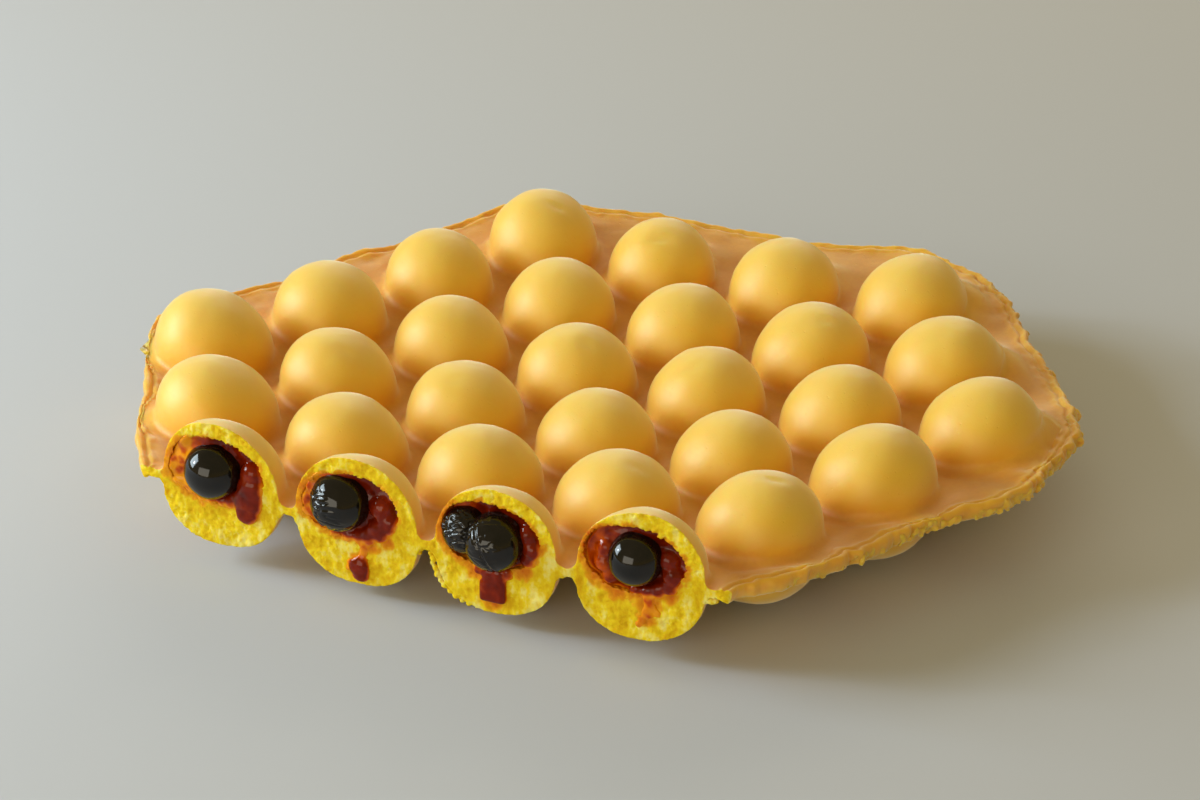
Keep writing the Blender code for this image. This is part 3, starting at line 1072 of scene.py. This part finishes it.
def rimSpot(angle, reach, drop):
    x, y = reach * math.cos(angle), reach * math.sin(angle)
    return iron["centre"] + Vector((x, y, dishLift(x, y) - drop))


def buildFroth():
    dice = random.Random(froth["seed"])
    grains = []
    smaller, added = froth["sizes"]
    while len(grains) < froth["grains"]:
        angle = math.radians(dice.uniform(*froth["directions"]))
        share = max(0, math.cos(angle - froth["densest"])) ** froth["gathering"]
        if dice.random() > share:
            continue
        radius = dice.uniform(froth["smallest"], froth["largest"]) * (smaller + added * share)
        reach = edgeDistance(angle) - radius * dice.uniform(*froth["inset"])
        place = rimSpot(angle, reach, dice.uniform(*froth["drop"]) * mm)
        if (place - cutCentres(0)[0]).dot(cutNormal) < -froth["behindCut"]:
            grains.append(addGrain(place, radius))
    for direction, radius in froth["knobs"]:
        angle = math.radians(direction)
        reach = edgeDistance(angle) - froth["knobInset"] * radius
        grains.append(addGrain(rimSpot(angle, reach, froth["knobDrop"]), radius))
    bead = joinAll(grains, "rim_froth")
    applyModifier(bead, "REMESH", mode="VOXEL", voxel_size=froth["voxel"])
    middle, uneven, patches = froth["browning"]
    points = bead.data.vertices
    storeValues(bead, "height", [middle + uneven * noise.noise(point.co / patches) for point in points])
    wear(bead, "crust")
    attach(bead, "root")
    print("froth made", len(bead.data.polygons))


# the pearls, as in the solids: cut bubble, place along, out and up from its dome's centre, radius,
# depth of its wrinkles, and the way its wrinkled side faces; mm
pearls = {
    "pearl_1": (0, (-2.2, -0.8, 2.0), 6.6, 0, (-1, 0, 0)),
    "pearl_2": (1, (-4.0, -0.8, 2.9), 6.8, 0.34, (-0.7, 0.5, -0.4)),
    "pearl_3_back": (2, (-7.3, -1.2, 2.4), 5.4, 0.42, (-0.2, 0.9, 0.0)),
    "pearl_3_front": (2, (0.1, 0.8, 1.9), 6.5, 0.14, (-0.6, 0.6, 0.3)),
    "pearl_4": (3, (-1.3, -0.6, 2.8), 6.0, 0, (-1, 0, 0)),
}
pearlSkin = {
    "soft": 0.10 * mm,  # gentle unroundness
    "softPerRadius": 1.6,
    "wrinklesPerRadius": 3.4,
    "stretch": (0.55, 1.0, 1.7),  # wrinkles run along the row
    "foldSharpness": 2.4,
    "foldBand": (0.35, 1.0),
    "facingBand": (0.05, 0.75),
    "creaseSlope": (0.86, 0.42),
    "creaseBend": 0.10,
    "creaseAside": 0.06,
    "creaseDepth": 0.30 * mm,
    "creaseWidth": 0.06,
    "lipHeight": 0.16 * mm,
    "lipAside": 0.11,
}


def creaseAt(way):  # a fold in the skin with a lip beside it, where two pearls press together
    slopeX, slopeZ = pearlSkin["creaseSlope"]
    across = way.x * slopeX + way.z * slopeZ + pearlSkin["creaseBend"] * way.z ** 2 + pearlSkin["creaseAside"]
    width = pearlSkin["creaseWidth"]
    fold = pearlSkin["creaseDepth"] * math.exp(-((across / width) ** 2))
    lip = pearlSkin["lipHeight"] * math.exp(-(((across - pearlSkin["lipAside"]) / width) ** 2))
    return fold, lip


def buildPearl(name, number, place, radius, wrinkle, facing):
    pearl = addSphere(6)
    pearl.name = name + "_glossy"
    middle = centres[number] + cutTurn @ (Vector(place) * mm)
    facing = Vector(facing).normalized()
    seed = Vector((radius, number, 3.3))
    for point in pearl.data.vertices:
        way = point.co.copy()
        reach = radius * mm + pearlSkin["soft"] * noise.noise(way * pearlSkin["softPerRadius"] + seed)
        if wrinkle > 0:
            stretched = Vector([way[axis] * pearlSkin["stretch"][axis] for axis in range(3)])
            ripple = noise.noise(stretched * pearlSkin["wrinklesPerRadius"] + seed)
            folds = 1 - abs(ripple) * pearlSkin["foldSharpness"]
            near = smoothStep(*pearlSkin["facingBand"], way.dot(facing))
            reach -= wrinkle * mm * near * smoothStep(*pearlSkin["foldBand"], folds)
        if name == "pearl_3_front" and way.y > 0:
            fold, lip = creaseAt(way)
            reach -= fold
            reach += lip
        point.co = middle + cutTurn @ (way * reach)
    faceOutwards(pearl)
    wear(pearl, "tapiocaSkin")
    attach(pearl, "root")
    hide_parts(name)


# the syrup: a pool that lines each pocket, gel lumps on it and runs down the cut, mm from the dome's centre
syrups = (
    {
        "leftFront": 0.3, "rightFront": -1.6, "clearLeft": 1.0,  # how far out of the cut the pool's face lies
        "lumps": (  # along, out, up, radius, flatness
            (7.4, -1.6, 2.6, 3.2, 0.9), (7.2, -0.8, -0.6, 3.7, 0.75), (6.6, -0.1, -3.6, 3.8, 0.5),
            (6.2, 0.4, -6.6, 2.9, 0.4), (4.0, -0.8, -4.2, 2.6, 0.6), (2.0, -0.6, -5.0, 1.9, 0.7),
            (-0.2, -0.6, -5.3, 1.6, 0.8), (-2.8, -0.6, -5.2, 1.6, 0.8), (-5.2, -0.6, -4.4, 1.6, 0.8),
            (-7.0, -0.8, -3.0, 1.3, 0.8),
        ),
    },
    {
        "leftFront": 0.3, "rightFront": -1.4, "clearLeft": 0.9,
        "lumps": (
            (5.6, -2.2, 2.6, 3.2, 1), (7.4, -1.4, -0.6, 3.2, 0.8), (5.4, -1.0, -2.6, 3.2, 0.7),
            (3.0, -0.8, -4.4, 2.4, 0.8), (0.4, -0.6, -5.2, 1.9, 0.7), (-2.2, -0.5, -5.4, 1.6, 0.7),
            (-5.4, -0.5, -4.8, 1.7, 0.7), (-7.8, -0.6, -3.2, 1.3, 0.8), (2.0, 0.15, -6.8, 1.5, 0.4),
            (1.6, 0.2, -8.4, 1.2, 0.35), (1.2, 0.3, -10.0, 1.5, 0.4), (0.6, 0.6, -12.0, 2.6, 0.5),
            (0.9, 0.5, -13.6, 2.3, 0.45), (-1.6, 0.3, -11.4, 1.1, 0.5), (-2.2, 0.2, -13.0, 0.9, 0.5),
        ),
    },
    {
        "leftFront": -1.6, "rightFront": -1.2, "clearLeft": 0.5,
        "lumps": (
            (7.0, -1.8, 4.0, 2.8, 1), (8.2, -1.2, 1.0, 2.7, 1), (7.6, -1.2, -1.6, 2.4, 0.9),
            (-3.8, 0.2, -5.8, 1.5, 0.7), (-1.6, 0.5, -6.2, 1.6, 0.7), (0.6, 0.5, -6.3, 1.6, 0.7),
            (2.8, 0.2, -5.8, 1.5, 0.7), (-1.4, 0.5, -7.6, 1.7, 0.6), (1.0, 0.5, -7.6, 1.7, 0.6),
        ),
        "block": ((-0.5, 0.1, -10.6), (6.0, 3.2, 5.4)),  # a cut cube of gel: middle and size
    },
    {
        "leftFront": -0.9, "rightFront": -1.2, "clearLeft": 0.45,
        "lumps": (
            (-8.0, -1.8, 3.4, 2.7, 1), (-8.4, -1.2, 0.2, 2.5, 1), (-6.8, -0.9, -2.6, 2.2, 0.8),
            (5.8, -1.9, 3.4, 2.7, 1), (7.0, -1.2, 0.2, 2.6, 1), (6.6, -0.6, -2.4, 2.2, 0.8),
            (4.2, -0.6, -3.8, 2.1, 0.8), (1.6, -0.5, -4.8, 1.7, 0.7), (-1.2, -0.5, -4.9, 1.5, 0.7),
            (2.0, 0.15, -6.4, 1.5, 0.4), (2.4, 0.2, -8.0, 1.5, 0.35), (1.8, 0.25, -9.6, 1.6, 0.4),
            (0.8, 0.25, -11.2, 1.3, 0.4), (0.0, 0.2, -12.6, 1.1, 0.4), (3.8, 0.15, -9.2, 1.3, 0.35),
        ),
    },
)
syrupMesh = {
    "voxel": 0.27 * mm,
    "wallReach": 1.11,  # the gel fills its pocket and soaks a little way into the sponge
    "outerWall": 1.15 * mm,  # and stays this far inside the crust
    "faceSlope": (-9 * mm, 7 * mm),  # between these the pool's face goes from its left to its right
    "faceLumps": 0.9 * mm,
    "faceLumpSize": 2.6 * mm,
    "ripple": 0.2,
    "rippleSize": 1.4 * mm,
    "smooth": 14,
    "blockEdge": 0.9 * mm,
    "blockFlare": 0.10,
}


def addPool(number, centre, settings):
    pool = addSphere(5)
    left, right = settings["leftFront"], settings["rightFront"]
    for point in pool.data.vertices:
        spot = pocketPoint(point.co.normalized(), centre, syrupMesh["wallReach"])
        front = (left + smoothStep(*syrupMesh["faceSlope"], spot.x) * (right - left)) * mm
        face = Vector((spot.x, 0, spot.z)) / syrupMesh["faceLumpSize"] + centre * 90
        front += syrupMesh["faceLumps"] * noise.noise(face)
        spot.y = min(spot.y, front)
        point.co = centre + cutTurn @ keepInside(spot, number, syrupMesh["outerWall"])
    return pool


def addLump(centre, along, out, up, radius, flatness):
    lump = addSphere(3, radius * mm)
    place = centre + cutTurn @ (Vector((along, out, up)) * mm)
    for point in lump.data.vertices:
        point.co += cutNormal * point.co.dot(cutNormal) * (flatness - 1)
        ripple = noise.noise((point.co + place) / syrupMesh["rippleSize"])
        point.co += place + point.co.normalized() * syrupMesh["ripple"] * mm * ripple
    return lump


def addBlock(centre, middle, size):  # a cube of gel with soft edges and slightly hollow sides
    deselectAll()
    bpy.ops.mesh.primitive_cube_add(size=1)
    block = bpy.context.object
    for point in block.data.vertices:
        point.co = Vector([point.co[axis] * size[axis] * mm for axis in range(3)])
    openEdit(block, "EDGE")
    selectAll()
    bpy.ops.mesh.bevel(offset=syrupMesh["blockEdge"], segments=2, affect="EDGES")
    closeEdit()
    for point in block.data.vertices:
        point.co.x *= 1 + syrupMesh["blockFlare"] * (point.co.z / (0.5 * size[2] * mm)) ** 2
        point.co = centre + cutTurn @ (point.co + Vector(middle) * mm)
    return block


# how clear the gel is: 1 where it is a film over sponge, 0 where it is deep
film = {
    "patches": 2.2 * mm,
    "smallPatches": 0.9 * mm,
    "smallShare": 0.5,
    "overSponge": (0.88, 1.04),  # past the pocket's wall, in pocket radii
    "depth": (0.15 * mm, 1.1 * mm),
    "depthUneven": 0.3 * mm,
    "strength": 0.85,
    "clear": (0.75, 0.6),  # at the left, and how patchy
    "clearBand": (-9 * mm, -2 * mm),
    "shallow": (0.14, 0.10),
    "shallowBand": (-4.5 * mm, 0.5 * mm),
}


def thinAt(place, centre, clearLeft):
    away = place - centre
    along, up = away.dot(rowWay), away.z
    proud = away.dot(cutNormal) - iron["cutPast"]
    patchy = noise.noise(place / film["patches"])
    patchy += film["smallShare"] * noise.noise(place / film["smallPatches"])
    acrossPocket = (along - cut["pocketCentre"].x) / cut["pocketRadii"].x
    upPocket = (up - cut["pocketCentre"].z) / cut["pocketRadii"].z
    overSponge = smoothStep(*film["overSponge"], math.hypot(acrossPocket, upPocket))
    thick = smoothStep(*film["depth"], proud + film["depthUneven"] * patchy)
    evenly, patches = film["clear"]
    clear = clearLeft * (evenly + patches * patchy) * (1 - smoothStep(*film["clearBand"], along))
    evenly, patches = film["shallow"]
    shallow = evenly * smoothStep(*film["shallowBand"], proud) + patches * patchy
    return max(film["strength"] * (overSponge * (1 - thick)), clear, shallow)


def buildSyrup(number, settings):
    centre = centres[number - 1]
    parts = [addPool(number, centre, settings)] + [addLump(centre, *lump) for lump in settings["lumps"]]
    if "block" in settings:
        parts.append(addBlock(centre, *settings["block"]))
    syrup = joinAll(parts, f"syrup_{number}_gel")
    weld(syrup, 0.001 * mm)
    applyModifier(syrup, "REMESH", mode="VOXEL", voxel_size=syrupMesh["voxel"])
    applyModifier(syrup, "SMOOTH", factor=0.5, iterations=syrupMesh["smooth"])
    clearLeft = settings["clearLeft"]
    storeValues(syrup, "thin", [thinAt(point.co, centre, clearLeft) for point in syrup.data.vertices])
    wear(syrup, "syrupGel")
    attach(syrup, "root")
    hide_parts(f"syrup_{number}")
    print("syrup", number, len(syrup.data.polygons))


# torn sponge that clings to the cut: cut bubble, along and up from its dome's centre, radius, mm
torn = {
    "bits": (
        (1, 14.2, -3.4, 0.9), (1, 15.2, -4.2, 0.8), (1, 14.8, -5.6, 0.6), (1, 13.6, -6.0, 0.7),
        (1, 15.9, -3.3, 0.6), (2, -15.4, -5.0, 0.7), (2, -14.8, -6.2, 0.9), (2, -15.2, -7.4, 0.6),
        (2, -14.4, -8.4, 0.8), (2, -13.8, -9.8, 0.9), (2, -13.2, -11.2, 0.7), (2, -12.2, -12.2, 0.9),
        (2, -11.0, -13.4, 0.7), (2, -9.6, -14.4, 0.8), (2, -8.2, -15.2, 0.6), (2, -6.6, -15.6, 0.7),
        (2, -4.8, -15.9, 0.5), (2, 15.0, -3.6, 0.7), (2, 15.9, -3.2, 0.6), (3, 14.6, -3.6, 0.8),
        (3, 15.6, -3.4, 0.9), (3, 16.6, -3.2, 0.7), (3, -13.8, -7.6, 0.6), (3, -12.4, -10.8, 0.5),
        (0, 14.8, -3.2, 0.6),
    ),
    "out": -0.3,  # from the dome's centre, mm
    "second": (Vector((0.5, 0.4, -0.5)), 0.7),  # each bit has a smaller one beside it, in radii
    "voxel": 0.26 * mm,
}


def buildTorn():
    bits = []
    beside, smaller = torn["second"]
    for number, along, up, radius in torn["bits"]:
        place = centres[number] + cutTurn @ (Vector((along, torn["out"], up)) * mm)
        bits.append(addGrain(place, radius * mm))
        bits.append(addGrain(place + beside * radius * mm, smaller * radius * mm))
    clump = joinAll(bits, "torn_sponge")
    applyModifier(clump, "REMESH", mode="VOXEL", voxel_size=torn["voxel"])
    storeValues(clump, "stain", [0.0] * len(clump.data.vertices))
    wear(clump, "crumb")
    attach(clump, "root")
    print("torn bits made", len(clump.data.polygons))


makeMaterials()
buildWaffle()
buildFroth()
for name, settings in pearls.items():
    buildPearl(name, *settings)
for number, settings in enumerate(syrups, 1):
    buildSyrup(number, settings)
buildTorn()


# floor, lights and camera
studio = {
    "floor": (0.60, 0.63, 0.72),  # a little cool, so that it looks plain grey in the warm light
    "overhead": (0.36, 0.29, 0.14),
    "horizon": (0.48, 0.35, 0.12),
    "fade": 0.35,  # how far up the horizon's colour reaches
    "floorSize": 8,
    "floorDrop": 0.2 * mm,
    "floorRough": 0.85,
    "floorSpecular": 0.2,
    "aim": Vector((0, 0, 0.02)),
    "lights": (  # name, place, size across and up, power, colour
        ("keyLeft", (-0.84, 0.18, 0.38), (0.45, 0.45), 7.2, (0.76, 0.92, 1.0)),
        ("keyCore", (-0.83, 0.10, 0.38), (0.08, 0.08), 0.9, (0.90, 0.96, 1.0)),
        ("frontLeft", (-0.75, -0.85, 0.32), (0.80, 0.50), 3.6, (1.0, 0.93, 0.78)),
        ("softBack", (0.25, 1.20, 0.70), (1.20, 0.50), 4.0, (1.0, 0.87, 0.62)),
    ),
}


def makeStudio():
    deselectAll()
    bpy.ops.mesh.primitive_plane_add(size=studio["floorSize"], location=(0, 0, -studio["floorDrop"]))
    floor = bpy.context.object
    floor.name = "floor"
    shader = newMaterial("floorPaint")[1]
    setInputs(shader, {
        "Base Color": (*studio["floor"], 1),
        "Roughness": studio["floorRough"],
        "Specular IOR Level": studio["floorSpecular"],
    })
    floor.data.materials.append(bpy.data.materials["floorPaint"])
    world = bpy.data.worlds.new("studio")
    world.use_nodes = True
    tree = world.node_tree
    coords = addNode(tree, "TexCoord", -900, 0)
    height = addNode(tree, "SeparateXYZ", -700, 0)
    fade = addNode(tree, "MapRange", -500, 0, {"From Max": studio["fade"]}, interpolation_type="SMOOTHSTEP")
    values = {"A": (*studio["horizon"], 1), "B": (*studio["overhead"], 1)}
    colour = addNode(tree, "Mix", -250, 0, values, data_type="RGBA")
    linkAll(
        tree,
        (coords, "Generated", height, "Vector"),
        (height, "Z", fade, "Value"),
        (fade, "Result", colour, "Factor"),
        (colour, "Result", tree.nodes["Background"], "Color"),
    )
    bpy.context.scene.world = world
    for name, place, size, power, tone in studio["lights"]:
        bpy.ops.object.light_add(type="AREA", location=place)
        light = bpy.context.object
        light.name = name
        light.data.shape = "RECTANGLE"
        light.data.size, light.data.size_y = size
        light.data.energy = power
        light.data.color = tone
        light.rotation_euler = (studio["aim"] - Vector(place)).to_track_quat("-Z", "Y").to_euler()


shot = {
    "azimuth": math.radians(-8.45),
    "elevation": math.radians(27.54),
    "roll": math.radians(0.75),
    "distance": 659.6 * mm,
    "aside": (3.22 * mm, 3.70 * mm),  # the view's centre, right and up of the lattice's middle
    "lens": 84.0,
    "sensor": 36,
    "nearest": 0.01,
}


def makeCamera():
    turn, rise, roll = shot["azimuth"], shot["elevation"], shot["roll"]
    back = Vector((math.sin(turn) * math.cos(rise), -math.cos(turn) * math.cos(rise), math.sin(rise)))
    right = Vector((math.cos(turn), math.sin(turn), 0))
    up = back.cross(right).normalized()
    leanRight = right * math.cos(roll) + up * math.sin(roll)
    leanUp = up * math.cos(roll) - right * math.sin(roll)
    middle = iron["centre"] + Vector((0, 0, bubble["domeRise"]))
    place = middle + leanRight * shot["aside"][0] + leanUp * shot["aside"][1] + back * shot["distance"]
    bpy.ops.object.camera_add(location=place)
    camera = bpy.context.object
    camera.name = "camera"
    camera.rotation_euler = Matrix((leanRight, leanUp, back)).transposed().to_euler()
    camera.data.lens = shot["lens"]
    camera.data.sensor_width = shot["sensor"]
    camera.data.clip_start = shot["nearest"]
    bpy.context.scene.camera = camera


makeStudio()
makeCamera()
bpy.context.scene.view_settings.view_transform = "Standard"
